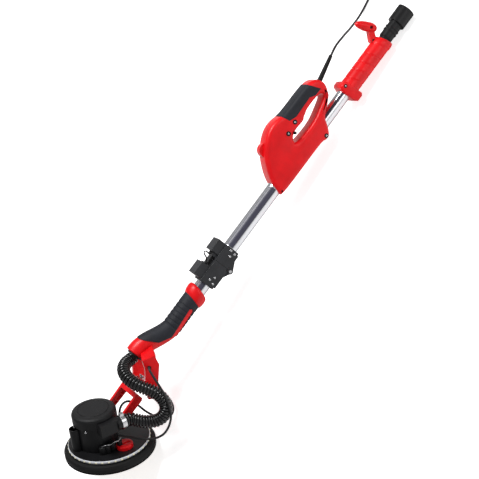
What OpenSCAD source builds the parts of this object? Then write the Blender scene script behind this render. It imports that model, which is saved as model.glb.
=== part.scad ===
// Pole drywall sander: a telescopic, folding pole with a swivelling sanding head.
// The tool is drawn along X, head towards -X, handles towards +Z, and is then laid
// on its side, so that it rests on a floor at z = 0.

/* [Pole] */
// Outside diameter of the lower and middle tubes
tube_od = 40; // [36:1:44]
// Wall of the lower and middle tubes
tube_wall = 1.4; // [1.2:0.1:2.5]
// Radial clearance of the rear tube in the middle tube
slide_gap = 0.1; // [0.05:0.01:0.3]
// Wall of the rear tube
rear_wall = 1.5; // [1:0.1:2.5]
// End of the middle tube inside the main handle
mid_end = 480; // [440:1:490]
// Length of the rear tube behind the middle tube's end
rear_len = 172; // [165:1:220]
// Length of the rear tube that stays inside the middle tube
rear_grip_in = 220; // [190:1:260]

/* [Fold hinge] */
// Place of the fold along the pole
fold_x = 52; // [48:1:60]
// Depth of the fold pin below the pole's axis
fold_drop = 33; // [31:1:38]
// Diameter of the fold pin
fold_pin_d = 8; // [6:0.5:9]
// Width of the hinge blocks
block_w = 50; // [48:1:56]

/* [Main handle] */
// Thickness of the main handle
handle_w = 56; // [52:1:62]
// Wall of the handle shells
shell_wall = 3.5; // [2.5:0.5:4.5]

/* [Rear grip] */
// Diameter of the rear grip
rear_grip_d = 54; // [48:1:60]
// Diameter of the hose adapter's wide end
adapter_d = 49; // [44:1:56]

/* [Lower grip] */
// Diameter of the lower grip's soft sleeve
lower_grip_d = 54; // [52:1:60]
// Diameter of the collar over the lower grip
collar_d = 63; // [58:1:70]
// Distance from the middle plane to the middle of each fork arm
fork_half = 62; // [58:1:68]
// Thickness of a fork arm
fork_t = 12; // [9:1:14]

/* [Head] */
// Diameter of the brush skirt
skirt_d = 240; // [236:1:250]
// Diameter of the sanding disc
disc_d = 225; // [215:1:225]
// Radius of the motor housing
motor_r = 52; // [48:1:54]
// Radius of the motor cover
cover_r = 58; // [55:1:60]
// Distance between the motor's axis and the disc's axis
motor_shift = 28; // [24:1:32]
// Outside diameter of the dust hose
hose_d = 34; // [30:1:36]

/* [Pose at rest] */
// Roll of the head towards the near side
head_roll = 16; // [10:1:20]
// Pitch of the head towards the rear
head_pitch = 38; // [34:1:42]

/* [Hidden] */
$fn = 48;
eps = 0.02;
snug = 0.1;

tube_r = tube_od / 2;
rear_r = tube_r - tube_wall - slide_gap;
skirt_r = skirt_d / 2;
disc_r = disc_d / 2;
hose_r = hose_d / 2;
half_w = handle_w / 2;

// Gimbal: both of its axes pass through this point of the middle plane
gimbal_x = -428.6;
gimbal_z = -18;
// The same point in the head's own frame
gimbal_q = 23;
gimbal_h = 88.1;

// How the tool lies: its roll, its slope, and the shift that centres it on the floor
lie_roll = -21.7;
lie_slope = 5.27;
lie_x = -155.155;
lie_y = 21.543;
lie_z = 107.428;

RED = "#e0181c";
SOFT = "#2c2f3a";
BLACK = "#18181b";
DARK = "#3a3b40";
STEEL = "#c8cad0";

// ---------- frames ----------
module lie() {
    translate([lie_x, lie_y, lie_z]) rotate([0, lie_slope, 0]) rotate([lie_roll, 0, 0]) children();
}
module at_swing() {
    lie() translate([0, 0, gimbal_z]) rotate([head_roll, 0, 0]) children();
}
module at_head() {
    at_swing() translate([gimbal_x, 0, 0]) rotate([0, head_pitch, 0])
        translate([-gimbal_q, 0, -gimbal_h]) children();
}

// ---------- helpers ----------
function left_normal(a, b) = [a[1] - b[1], b[0] - a[0]] / norm(b - a);
// Moves each corner of an anticlockwise outline inwards by t
function inset(p, t) = [
    for (i = [0:len(p) - 1])
        let (
            m = left_normal(p[(i + len(p) - 1) % len(p)], p[i]),
            n = left_normal(p[i], p[(i + 1) % len(p)])
        )
        p[i] + (m + n) * t / (1 + m * n)
];
// A slab of a side outline (x, z) between two y values
module slab(y0, y1) {
    translate([0, y1, 0]) rotate([90, 0, 0]) linear_extrude(y1 - y0) children();
}
// A cylinder along X from x0 to x1
module rod(x0, x1, r) {
    translate([x0, 0, 0]) rotate([0, 90, 0]) cylinder(r = r, h = x1 - x0);
}
// A cylinder along Y at (x, z) from y0 to y1
module cross_rod(x, z, y0, y1, r) {
    translate([x, y1, z]) rotate([90, 0, 0]) cylinder(r = r, h = y1 - y0);
}
module pipe(x0, x1, r, wall) {
    difference() {
        rod(x0, x1, r);
        rod(x0 - 1, x1 + 1, r - wall);
    }
}
module ring(z0, z1, r0, r1) {
    rotate_extrude($fn = 96) translate([r0, z0]) square([r1 - r0, z1 - z0]);
}

// ---------- pole ----------
module mid_tube() {
    color(STEEL) lie() pipe(fold_x + 2, mid_end, tube_r, tube_wall);
}
strip_angle = 33;
strip_spread = 58;
strip_t = 0.8;
module channel_strip() {
    color(DARK) lie() translate([fold_x + 52, 0, 0]) rotate([0, 90, 0])
        rotate([0, 0, -90 - strip_angle - strip_spread / 2])
            rotate_extrude(angle = strip_spread) translate([tube_r + 0.05, 0]) square([strip_t, 187]);
}
rear_end = mid_end + rear_len;
module rear_tube() {
    color(STEEL) lie() difference() {
        pipe(mid_end - rear_grip_in, rear_end, rear_r, rear_wall);
        translate([mid_end - rear_grip_in - 1, 0, 0]) rotate([-strip_angle, 0, 0])
            translate([0, -rear_r - 1, -1.5]) cube([rear_grip_in + rear_len + 2, 1.6, 3]);
    }
}
module lower_tube() {
    color(STEEL) lie() pipe(-180, fold_x - 2, tube_r, tube_wall);
}

// ---------- fold hinge ----------
clasp_x = fold_x + 8.5;
clasp_z = 30;
// Each block is a clamp round its tube with a raised horn on the handle side
module hinge_shape(x0, x1, horn0, horn1) {
    w = block_w / 2;
    translate([x0, -w, -20]) cube([x1 - x0, 2 * w, 42]);
    translate([x0 + 6, -w, -24]) cube([x1 - x0 - 12, 2 * w, 8]);
    translate([horn0, -w + 3, 10]) cube([horn1 - horn0, 2 * w - 6, 37]);
}
module upper_hinge_block() {
    color(DARK) lie() difference() {
        union() {
            hinge_shape(fold_x + 0.3, fold_x + 50, fold_x + 14, fold_x + 49);
            for (s = [-1, 1]) translate([fold_x + 4, s * 15 - 2.5, 20]) cube([11, 5, 15]);
            cross_rod(clasp_x, clasp_z, -14, 14, 2);
            for (s = [-1, 1])
                hull() {
                    cross_rod(fold_x, -fold_drop, s * 15 - 3, s * 15 + 3, 8);
                    translate([fold_x + 14, s * 15 - 3, -24]) cube([20, 6, 8]);
                }
        }
        rod(fold_x - 12, fold_x + 60, tube_r + snug);
        cross_rod(fold_x, -fold_drop, -30, 30, fold_pin_d / 2 + 0.05);
    }
}
module lower_hinge_block() {
    color(DARK) lie() difference() {
        union() {
            hinge_shape(fold_x - 66, fold_x - 0.3, fold_x - 62, fold_x - 24);
            hull() {
                cross_rod(fold_x, -fold_drop, -11.5, 11.5, 8);
                translate([fold_x - 34, -11.5, -24]) cube([20, 23, 8]);
            }
        }
        rod(fold_x - 80, fold_x + 12, tube_r + snug);
        cross_rod(fold_x, -fold_drop, -30, 30, fold_pin_d / 2 + 0.05);
    }
}
module hinge_pin() {
    color(STEEL) lie() cross_rod(fold_x, -fold_drop, -20, 20, fold_pin_d / 2);
}
module rivet(x, z) {
    translate([x, -block_w / 2, z]) rotate([90, 0, 0]) cylinder(r1 = 3.6, r2 = 2.6, h = 1.6);
}
module upper_rivets() {
    color(STEEL) lie() for (p = [[44, 2], [42, -12], [30, -5]]) rivet(fold_x + p[0], p[1]);
}
module lower_rivets() {
    color(STEEL) lie() for (p = [[-50, 2], [-38, -6], [-54, -12]]) rivet(fold_x + p[0], p[1]);
}
// Over-centre clasp on the handle side: it hooks the lower horn to the upper one
module latch_lever() {
    color(BLACK) lie() difference() {
        union() {
            translate([fold_x - 21, -12, 25]) cube([31, 24, 7]);
            cross_rod(clasp_x, clasp_z, -12, 12, 5);
            translate([fold_x - 23.5, -9, 29]) cube([3, 18, 11]);
        }
        cross_rod(clasp_x, clasp_z, -13, 13, 2.06);
    }
}
wire_path = [
    [fold_x - 23.6, -17, 36], [fold_x - 18, -17, 36.8], [fold_x - 9, -17, 44], [fold_x - 5, -17, 54],
    [fold_x, -17, 59], [fold_x + 4, -17, 54], [fold_x + 3, -17, 46], [fold_x + 7, -17, 39],
    [fold_x + 13.6, -17, 38]
];
module wire_loop() {
    color(BLACK) lie() tube_along(wire_path, 1.9, 8);
}

// ---------- swept tubes ----------
function unit(v) = v / norm(v);
function tangent(p, i) = unit(p[min(i + 1, len(p) - 1)] - p[max(i - 1, 0)]);
function side_of(t) = unit(cross(t, abs(t[2]) < 0.9 ? [0, 0, 1] : [1, 0, 0]));
// Carries the side vector along the path without twist
function carried(p, i) = i == 0
    ? side_of(tangent(p, 0))
    : let (s = carried(p, i - 1), t = tangent(p, i)) unit(s - t * (s * t));
module tube_along(p, r, sides) {
    count = len(p);
    rings = [
        for (i = [0:count - 1])
            let (t = tangent(p, i), s = carried(p, i), b = cross(t, s))
            for (k = [0:sides - 1]) p[i] + r * (s * cos(360 * k / sides) + b * sin(360 * k / sides))
    ];
    walls = [
        for (i = [0:count - 2])
            for (k = [0:sides - 1])
                let (m = (k + 1) % sides)
                [i * sides + k, (i + 1) * sides + k, (i + 1) * sides + m, i * sides + m]
    ];
    ends = [[for (k = [0:sides - 1]) k], [for (k = [0:sides - 1]) count * sides - 1 - k]];
    polyhedron(rings, concat(walls, ends));
}

// ---------- main handle ----------
handle_side = [
    [292, -14], [297, -23], [440, -23], [478, -24], [487, -29], [503, -28], [520, -6], [530, 14],
    [576, 34], [600, 66], [594, 92], [578, 104], [549, 108], [462, 108], [440, 116], [415, 118],
    [390, 112], [360, 95], [336, 74], [306, 32]
];
finger_hole = [
    [424, 33], [497, 29], [540, 40], [574, 50], [573, 62], [550, 66], [514, 66], [494, 61],
    [486, 54], [459, 57], [440, 55], [427, 46]
];
trigger_x = 534;
trigger_z = 71;
dial_x = 362;
dial_z = 84;
button_x = 443;
button_z = 64;
screw_places = [[464, 76], [429, 71], [588, 68], [330, 42]];
clamp_x = 494;
clamp_z = -22.6;
module handle_half(s) {
    flat = half_w - 6;
    inner = inset(handle_side, 5 + shell_wall);
    difference() {
        union() {
            difference() {
                union() {
                    slab(s < 0 ? -flat : eps, s < 0 ? -eps : flat) polygon(handle_side);
                    slab(s < 0 ? -half_w : eps, s < 0 ? -eps : half_w) polygon(inset(handle_side, 5));
                }
                slab(-half_w + shell_wall, half_w - shell_wall) difference() {
                    polygon(inner);
                    polygon(inset(finger_hole, -shell_wall));
                    translate([mid_end - 6, -40]) square([60, 64]);
                }
            }
            // screw bosses
            for (p = screw_places)
                cross_rod(p[0], p[1], s < 0 ? -half_w + 3 : eps, s < 0 ? -eps : half_w - 3, 6);
        }
        slab(-half_w - 1, half_w + 1) polygon(finger_hole);
        rod(280, mid_end + 1, tube_r + snug);
        rod(mid_end, 640, rear_r + snug);
        // slot of the trigger, window of the speed dial, hole of the lock button
        translate([474, -8.5, 50]) cube([70, 17, 29]);
        cross_rod(dial_x, dial_z, -10.4, 10.4, 20.4);
        cross_rod(button_x, button_z - 8, -half_w - 1, 0, 4.1);
        handle_patch(0.3);
        relief_shape(snug);
        for (p = screw_places) cross_rod(p[0], p[1], -half_w - 1, 6, 3.3);
        cross_rod(clamp_x, clamp_z, -half_w - 1, half_w + 1, 2.3);
        translate([mid_end + 3, -40, -32]) cube([1.6, 80, 16]);
    }
}
module handle_patch(g) {
    slab(-half_w + 3 - g, half_w - 3 + g) difference() {
        polygon([
            [466 - g, 120], [463 - g, 92 - g], [474, 83 - g], [548, 72 - g], [572 + g, 72 - g],
            [566 + g, 84], [552 + g, 120]
        ]);
        polygon(inset(handle_side, 3 + g));
    }
}
module handle_near() {
    color(RED) lie() handle_half(-1);
}
module handle_far() {
    color(RED) lie() handle_half(1);
}
module handle_grip() {
    color(SOFT) lie() intersection() {
        handle_patch(0);
        slab(-half_w, half_w) polygon(handle_side);
    }
}
module handle_screws() {
    color(STEEL) lie() {
        for (p = screw_places) cross_rod(p[0], p[1], -20, 5.5, 3.2);
        cross_rod(clamp_x, clamp_z, -half_w + 1, half_w - 1, 2.2);
    }
}
module power_switch() {
    color(BLACK) lie() translate([486, -half_w + shell_wall + 0.2, 79.4])
        cube([44, 2 * (half_w - shell_wall - 0.2), 12]);
}
module trigger() {
    color(RED) lie() difference() {
        slab(-8, 8) polygon([
            [476, 62], [484, 53], [494, 55], [520, 63], [538, 65], [540, 74], [520, 77], [478, 71]
        ]);
        cross_rod(trigger_x, trigger_z, -9, 9, 2);
    }
}
module lock_button() {
    color(BLACK) lie() cross_rod(button_x, button_z - 8, -half_w - 2.5, -10, 4);
}
module speed_dial() {
    color(RED) lie() difference() {
        cross_rod(dial_x, dial_z, -10, 10, 20);
        cross_rod(dial_x, dial_z, -11, 11, 3);
    }
}
relief_at = [598, 0, 78];
relief_tilt = 13;
relief_len = 74;
module relief_shape(g) {
    translate(relief_at) rotate([0, 90 - relief_tilt, 0]) {
        cylinder(r1 = 7 + g, r2 = 5 + g, h = relief_len);
        translate([0, 0, -8 - g]) cylinder(r = 8.5 + g, h = 9 + 2 * g);
    }
}
module strain_relief() {
    color(BLACK) lie() relief_shape(0);
}

// ---------- rear grip ----------
grip_x0 = 614;
grip_x1 = 806;
module rear_grip() {
    gr = rear_grip_d / 2;
    color(RED) lie() difference() {
        union() {
            rod(grip_x0 + 10, grip_x1, gr - 4);
            rod(grip_x0 + 24, grip_x0 + 40, gr - 2);
            for (i = [0:3]) translate([grip_x0 + 46 + 27 * i, 0, 0]) rod(0, 23, gr);
            rod(grip_x1 - 16, grip_x1, gr - 1);
            translate([grip_x0, -gr, -gr - 8]) cube([20, 2 * gr, 2 * gr + 11]);
            translate([grip_x1 - 30, -13, 10]) cube([28, 26, 15]);
        }
        rod(grip_x0 - 1, rear_end + eps, rear_r + snug);
        rod(rear_end, grip_x1 + 1, 16);
        stem_shape(0.1);
    }
}
stem_foot = [778, 27];
stem_head = [799, 55];
module stem_shape(g) {
    hull() {
        cross_rod(stem_foot[0], stem_foot[1], -9 - g, 9 + g, 9 + g);
        cross_rod(stem_head[0], stem_head[1], -8 - g, 8 + g, 8 + g);
    }
}
module aux_stem() {
    color(RED) lie() difference() {
        stem_shape(0);
        for (p = [stem_foot, stem_head]) cross_rod(p[0], p[1], -12, -4.9, 3.6);
    }
}
bar_low = 22;
bar_high = 46;
module aux_bar() {
    color(RED) lie() difference() {
        translate([stem_head[0], 0, stem_head[1]]) rotate([0, -27, 0]) rotate_extrude() polygon(concat(
            [[0, -bar_low]],
            [for (a = [-60:20:60]) [14 * cos(a), (a < 0 ? bar_low : bar_high) * sin(a)]],
            [[0, bar_high]]
        ));
        stem_shape(0.05);
        cross_rod(stem_head[0], stem_head[1], -20, -4.9, 5);
    }
}
module aux_screws() {
    color(BLACK) lie() for (p = [stem_foot, stem_head]) cross_rod(p[0], p[1], -7.4, -5, 3.5);
}
module hose_adapter() {
    ar = adapter_d / 2;
    color(BLACK) lie() difference() {
        union() {
            rod(grip_x1 - 14, 860, 15.9);
            rod(grip_x1 + 0.3, 856, 18.5);
            for (x = [826, 836]) rod(x, x + 3, 20);
            rod(856, 904, ar);
        }
        rod(grip_x1 - 20, 860, 13.5);
        rod(858, 906, ar - 3);
    }
}

// ---------- lower grip and fork ----------
crank_side = [
    [-160, -26], [-160, 26], [-176, 26], [-206, 36], [-252, 56], [-266, 60], [-262, 12],
    [-236, -8], [-196, -27]
];
module lower_handle_half(s) {
    difference() {
        intersection() {
            union() {
                rod(-175, -60, 23);
                translate([-38, 0, 0]) rotate([0, -90, 0]) rotate_extrude() polygon([
                    [0, 0], [25, 0], [collar_d / 2 - 2, 8], [collar_d / 2, 16], [collar_d / 2, 24],
                    [collar_d / 2 - 5, 32], [0, 32]
                ]);
                slab(-20, 20) polygon(crank_side);
                slab(-26, 26) polygon(inset(crank_side, 5));
            }
            translate([-300, s < 0 ? -60 : eps, -60]) cube([300, 60 - eps, 140]);
        }
        rod(-181, 0, tube_r + snug);
        hull() {
            translate([-186, 0, 0]) sphere(r = 18, $fn = 32);
            translate([-238, 0, 22]) sphere(r = 18, $fn = 32);
        }
        translate([-234, 0, 36]) rotate([0, -90, 0]) cylinder(r = 20.1, h = 60);
    }
}
module lower_handle_near() {
    color(RED) lie() lower_handle_half(-1);
}
module lower_handle_far() {
    color(RED) lie() lower_handle_half(1);
}
module lower_grip() {
    gr = lower_grip_d / 2;
    color(SOFT) lie() difference() {
        union() {
            rod(-158, -72, gr - 1);
            for (i = [0:5]) translate([-86 - 13 * i, 0, 0]) rod(0, 9, gr);
        }
        rod(-190, 0, 23.1);
    }
}
gland_tilt = 65;
gland_len = 28;
module gland(s, g) {
    translate([-272, s * (fork_half - 1), 5]) rotate([-s * gland_tilt, 0, 0])
        cylinder(r1 = 5 + g, r2 = 3.6 + g, h = gland_len);
}
module fork_arm(s) {
    y = s * fork_half;
    difference() {
        union() {
            slab(y - fork_t / 2, y + fork_t / 2) polygon([
                [-268, 34], [-282, 14], [-330, -30], [-338, -42], [-326, -54], [-312, -52],
                [-250, -8], [-240, 16]
            ]);
            hull() {
                slab(s * 26 - 0.5, s * 26 + 0.5) polygon([[-258, 34], [-258, 8], [-236, 0], [-222, 24]]);
                slab(y - fork_t / 2, y + fork_t / 2) polygon([[-268, 34], [-276, 8], [-262, -6],
                    [-242, 10]]);
            }
        }
        slab(-26.3, 26.3) polygon(crank_side);
        cross_rod(-322, -42, y - 20, y + 20, 4.05);
        gland(s, 0.05);
    }
}
module fork_arm_near() {
    color(RED) lie() fork_arm(-1);
}
module fork_arm_far() {
    color(RED) lie() fork_arm(1);
}
bridge_half = fork_half - fork_t / 2 - 0.2;
module fork_bridge() {
    color(RED) lie() difference() {
        union() {
            slab(-bridge_half, bridge_half) polygon([[-334, -36], [-334, -50], [-312, -50], [-312, -36]]);
            slab(-14, 14) polygon([[-334, -4], [-334, -50], [-312, -50], [-312, -4]]);
            translate([0, 0, gimbal_z]) rod(-338, -308, 14);
            cross_rod(-322, -42, -bridge_half - fork_t, bridge_half + fork_t, 4);
        }
        translate([0, 0, gimbal_z]) rod(-345, -300, 6.05);
    }
}
module roll_pin() {
    color(STEEL) lie() translate([0, 0, gimbal_z]) {
        rod(-358, -304, 6);
        rod(-304, -300, 10);
    }
}
module hose_socket() {
    color(BLACK) lie() translate([-234, 0, 36]) rotate([0, -90, 0]) difference() {
        union() {
            cylinder(r = 20, h = 38);
            translate([0, 0, 34]) cylinder(r = 21, h = 4);
        }
        translate([0, 0, -1]) cylinder(r = 14, h = 60);
    }
}
module cable_glands() {
    color(BLACK) lie() for (s = [-1, 1]) gland(s, 0);
}

// ---------- swing frame ----------
leg_y = 38;
leg_t = 8;
module swing_leg(s) {
    y0 = s * leg_y - leg_t / 2;
    difference() {
        union() {
            slab(y0, y0 + leg_t) polygon([[gimbal_x, -10], [-352, -12], [-346, -8], [-346, 12],
                [gimbal_x, 10]]);
            cross_rod(gimbal_x, 0, y0, y0 + leg_t, 10);
        }
        cross_rod(gimbal_x, 0, y0 - 1, y0 + leg_t + 1, 5.05);
        // ribbed channel on the inner face
        for (i = [0:2])
            translate([gimbal_x + 16 + 21 * i, s > 0 ? y0 - 1 : y0 + 3.5, -7]) cube([18, leg_t - 2.5, 14]);
    }
}
module swing_frame() {
    color(RED) at_swing() {
        for (s = [-1, 1]) swing_leg(s);
        difference() {
            translate([-358, -leg_y, -12]) cube([12, 2 * leg_y, 24]);
            rod(-360, -340, 6.05);
        }
    }
}
module pitch_pin() {
    color(STEEL) at_swing() cross_rod(gimbal_x, 0, -leg_y - leg_t / 2, leg_y + leg_t / 2, 4.98);
}

// ---------- head ----------
module skirt_ring() {
    color(BLACK) at_head() rotate_extrude($fn = 96) polygon([
        [skirt_r - 6, 6], [skirt_r, 6], [skirt_r, 14], [skirt_r - 4, 20], [106, 22], [106, 18],
        [skirt_r - 6, 16]
    ]);
}
module brush_ring() {
    color(DARK) at_head() ring(0, 6, skirt_r - 5, skirt_r - 1);
}
deck_z = 22;
deck_top = 33;
// Reduction gear: pinion on the motor, wheel on the pad's spindle
pinion_teeth = 16;
wheel_teeth = 40;
tooth = motor_shift / (pinion_teeth + wheel_teeth);
pinion_r = pinion_teeth * tooth;
wheel_r = wheel_teeth * tooth;
module gear(teeth, r, z0, z1) {
    step = 360 / teeth;
    translate([0, 0, z0]) linear_extrude(z1 - z0) polygon([
        for (i = [0:teeth - 1])
            for (c = [[-0.28, -0.6], [-0.14, 0.3], [0.14, 0.3], [0.28, -0.6]])
                (r + c[1] * tooth) * [cos((i + c[0]) * step), sin((i + c[0]) * step)]
    ]);
}
module deck_plate() {
    color(BLACK) at_head() difference() {
        union() {
            ring(deck_z, deck_top, 12, 103.5);
            ring(deck_z, deck_z + 2, 100, 108);
            ring(deck_top - 1.5, deck_top, 100, 105.5);
        }
        translate([0, 0, deck_z + 2]) cylinder(r = wheel_r + 2, h = 20);
        translate([-motor_shift, 0, deck_z + 2]) cylinder(r = pinion_r + 2, h = 20);
    }
}
module led_strip() {
    color("#dfe6f2") at_head() ring(deck_z + 2, deck_top - 1.5, 103.55, 105);
}
module at_motor() {
    at_head() translate([-motor_shift, 0, 0]) children();
}
stator_r = 38;
cover_z = 104;
cover_top = 134;
module motor_housing() {
    color(BLACK) at_head() difference() {
        union() {
            translate([-motor_shift, 0, deck_top + 0.02]) difference() {
                cylinder(r = motor_r, h = cover_z - deck_top);
                translate([0, 0, 4]) cylinder(r = motor_r - 4, h = 90);
            }
            // ribs that hold the stator
            translate([-motor_shift, 0, 50]) for (a = [45:90:315]) rotate([0, 0, a])
                translate([stator_r + 0.2, -4, 0]) cube([motor_r - 2 - stator_r, 8, 44]);
            // lugs of the pitch pin
            for (s = [-1, 1])
                slab(s * 29 - 4, s * 29 + 4) polygon([
                    [13, gimbal_h - 26], [gimbal_q + 6, gimbal_h - 10], [gimbal_q + 9, gimbal_h],
                    [gimbal_q + 6, gimbal_h + 8], [13, gimbal_h + 13]
                ]);
        }
        translate([-motor_shift, 0, deck_top - 1]) cylinder(r = 9, h = 10);
        cross_rod(gimbal_q, gimbal_h, -40, 40, 5.05);
    }
}
module motor_cover() {
    color(DARK) at_motor() {
        rotate_extrude($fn = 72) polygon([
            [0, cover_top - 4], [cover_r - 9, cover_top - 4], [cover_r - 4, cover_top - 9],
            [cover_r - 4, cover_z + 0.04],
            [cover_r, cover_z + 0.04], [cover_r, cover_top - 9], [cover_r - 2, cover_top - 4],
            [cover_r - 7, cover_top - 1],
            [cover_r - 16, cover_top], [41, cover_top], [41, cover_top - 1], [39, cover_top - 1],
            [39, cover_top],
            [0, cover_top]
        ]);
        // seat of the upper bearing, and the rim that sits on the housing
        ring(96, cover_top - 3.9, 12.05, 16);
        ring(cover_z + 0.04, cover_z + 3, motor_r - 5, cover_r - 1);
    }
}
module dust_duct() {
    color(BLACK) at_head() difference() {
        translate([-84, 8, deck_top]) cylinder(r = 15, h = 62);
        translate([-84, 8, deck_top - 1]) cylinder(r = 12, h = 70);
        translate([-motor_shift, 0, 0]) cylinder(r = motor_r + 0.1, h = 130);
    }
}
port_q = 4;
port_y = -63;
port_h = 104;
module hose_port() {
    color(BLACK) at_head() difference() {
        union() {
            translate([-46, -74, port_h - 17]) cube([50, 40, 34]);
            translate([port_q - 2, port_y, port_h]) rotate([0, 90, 0]) cylinder(r = hose_r, h = 28);
        }
        translate([-motor_shift, 0, 0]) cylinder(r = motor_r + 0.1, h = 160);
        translate([-motor_shift, 0, cover_z]) cylinder(r = cover_r + 0.1, h = 60);
        translate([port_q - 12, port_y, port_h]) rotate([0, 90, 0]) cylinder(r = hose_r - 6.5, h = 50);
    }
}
module hose_clamp() {
    color(STEEL) at_head() translate([port_q + 9, port_y, port_h]) rotate([0, 90, 0]) difference() {
        union() {
            cylinder(r = hose_r + 2, h = 12);
            translate([-hose_r - 8, -5, 1]) cube([10, 10, 10]);
        }
        translate([0, 0, -1]) cylinder(r = hose_r + 0.3, h = 20);
    }
}
module motor_stator() {
    color("#8a5a34") at_motor() difference() {
        translate([0, 0, 52]) cylinder(r = stator_r, h = 40);
        translate([0, 0, 51]) cylinder(r = 25, h = 50);
        for (s = [-1, 1]) translate([s * 45 - 10, -50, 50]) cube([20, 100, 60]);
    }
}
module bearings() {
    color(STEEL) at_head() {
        translate([-motor_shift, 0, 0]) for (z = [37.2, 97]) ring(z, z + 6, 5.05, 12);
        ring(deck_z - 8, deck_z - 0.05, 8.05, 16);
    }
}
module rotor() {
    color(STEEL) at_motor() {
        gear(pinion_teeth, pinion_r, deck_z + 2.4, deck_top - 0.6);
        translate([0, 0, deck_top - 0.6]) cylinder(r = 5, h = 72);
        translate([0, 0, 54]) cylinder(r = 24, h = 36);
        // fan
        translate([0, 0, 45]) cylinder(r = 34, h = 1.6);
        for (a = [0:30:330]) rotate([0, 0, a]) translate([12, -0.7, 46.5]) cube([21, 1.4, 4]);
    }
}
module pad_spindle() {
    color(STEEL) at_head() {
        translate([0, 0, 13]) cylinder(r = 8, h = 12);
        rotate([0, 0, 180 / wheel_teeth]) gear(wheel_teeth, wheel_r, deck_z + 2.4, deck_top - 0.6);
    }
}
module backing_pad() {
    color(BLACK) at_head() translate([0, 0, 9]) cylinder(r = disc_r - 6, h = 4, $fn = 96);
}
module foam_pad() {
    color("#404048") at_head() translate([0, 0, 3.05]) cylinder(r = disc_r - 1, h = 5.9, $fn = 96);
}
module abrasive_disc() {
    color("#b08a60") at_head() translate([0, 0, 1.6]) cylinder(r = disc_r, h = 1.4, $fn = 96);
}
module suction_knob() {
    color(RED) at_head() translate([13, -66, deck_top + 0.3]) difference() {
        cylinder(r = 22, h = 9);
        translate([-16, -3, 5]) cube([32, 6, 10]);
    }
}

// ---------- hoses, cables and mains cord ----------
hose_upper_path = [
    [-272.1, 0, 36], [-279, 0, 36], [-290, -5, 42], [-303, -17, 49], [-318, -38, 50], [-327, -64, 36],
    [-324, -88, 8], [-314, -98, -22], [-312, -102, -44], [-314.8, -103.2, -58.7], [-318, -104, -66]
];
hose_lower_path = [
    [-318, -104, -66.1], [-321.2, -104.8, -73.4], [-336, -102, -86], [-356, -95, -90], [-376, -84, -81],
    [-391, -73, -63], [-400.3, -63, -44], [-405.4, -61.1, -33.6], [-413.2, -62.8, -27.7]
];
power_cable_path = [
    [-272, -86.5, 16.9], [-272, -90.2, 18.6], [-277, -98, 14], [-285, -108, -4], [-293, -119, -24],
    [-304, -125, -50], [-318, -126, -73], [-337, -121, -98], [-362, -108, -115], [-390, -94, -122],
    [-416, -76, -110], [-438, -58, -78], [-452, -46, -48]
];
light_cable_path = [
    [-272, 86.5, 16.9], [-272, 90.2, 18.6], [-277, 94, 11], [-288, 90, -14], [-298, 66, -56],
    [-303, 34, -92], [-308, 4, -120], [-322, -16, -137], [-344, -22, -139], [-362, -17, -122],
    [-371, -8, -84], [-368, -2, -48], [-374, 0, -24], [-390, 0, -16], [-410, 0, -22], [-424, 0, -34]
];
cable_r = 3;
module hose_upper() {
    color(BLACK) lie() tube_along(hose_upper_path, hose_r, 12);
}
module hose_lower() {
    color(BLACK) lie() tube_along(hose_lower_path, hose_r, 12);
}
module power_cable() {
    color(BLACK) lie() tube_along(power_cable_path, cable_r, 8);
}
module light_cable() {
    color(BLACK) lie() tube_along(light_cable_path, cable_r, 8);
}

// The mains cord hangs from the strain relief to the floor, and its spare length is coiled there
cord_r = 4;
cord_path = [
    [520.4, 56.5, 133.4], [536, 57.8, 135.3], [556, 70, 126], [580, 87, 108], [606, 108, 86],
    [632, 130, 62], [656, 152, 40], [680, 171, 21], [704, 184, 9], [728, 192, 4], [752, 196, 4],
    [785, 201, 4], [826, 203, 4]
];
coil_at = [858, 263, 0];
coil_mean = 48;
coil_rows = 3;
coil_columns = 4;
module mains_cord() {
    color(BLACK) tube_along(cord_path, cord_r, 10);
}
module cord_coil() {
    color(BLACK) translate(coil_at)
        ring(0, 2 * cord_r * coil_rows, coil_mean - cord_r * coil_columns, coil_mean + cord_r * coil_columns);
}
module mains_plug() {
    color(BLACK) translate(coil_at + [33.2, -coil_mean - 3 * cord_r, 9])
        rotate([0, 90, 0]) {
            cylinder(r1 = 4.6, r2 = 6.5, h = 24);
            hull() {
                translate([-7, -9, 22]) cube([14, 18, 4]);
                translate([-8.5, -16, 36]) cube([17, 32, 22]);
            }
            for (s = [-1, 1]) translate([0, s * 9.5, 57]) cylinder(r = 2.4, h = 20);
        }
}

mid_tube();
channel_strip();
upper_hinge_block();
upper_rivets();
handle_near();
handle_far();
handle_grip();
handle_screws();
power_switch();
strain_relief();
wire_loop();
trigger();
lock_button();
speed_dial();
latch_lever();
lower_tube();
lower_hinge_block();
lower_rivets();
hinge_pin();
lower_handle_near();
lower_handle_far();
lower_grip();
fork_arm_near();
fork_arm_far();
fork_bridge();
hose_socket();
cable_glands();
swing_frame();
roll_pin();
pitch_pin();
skirt_ring();
brush_ring();
deck_plate();
led_strip();
motor_housing();
motor_cover();
dust_duct();
hose_port();
hose_clamp();
motor_stator();
bearings();
suction_knob();
rotor();
pad_spindle();
backing_pad();
foam_pad();
abrasive_disc();
rear_tube();
rear_grip();
aux_stem();
aux_bar();
aux_screws();
hose_adapter();
hose_upper();
hose_lower();
power_cable();
light_cable();
mains_cord();
cord_coil();
mains_plug();
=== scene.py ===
import math
import bpy
from mathutils import Matrix, Vector


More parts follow.
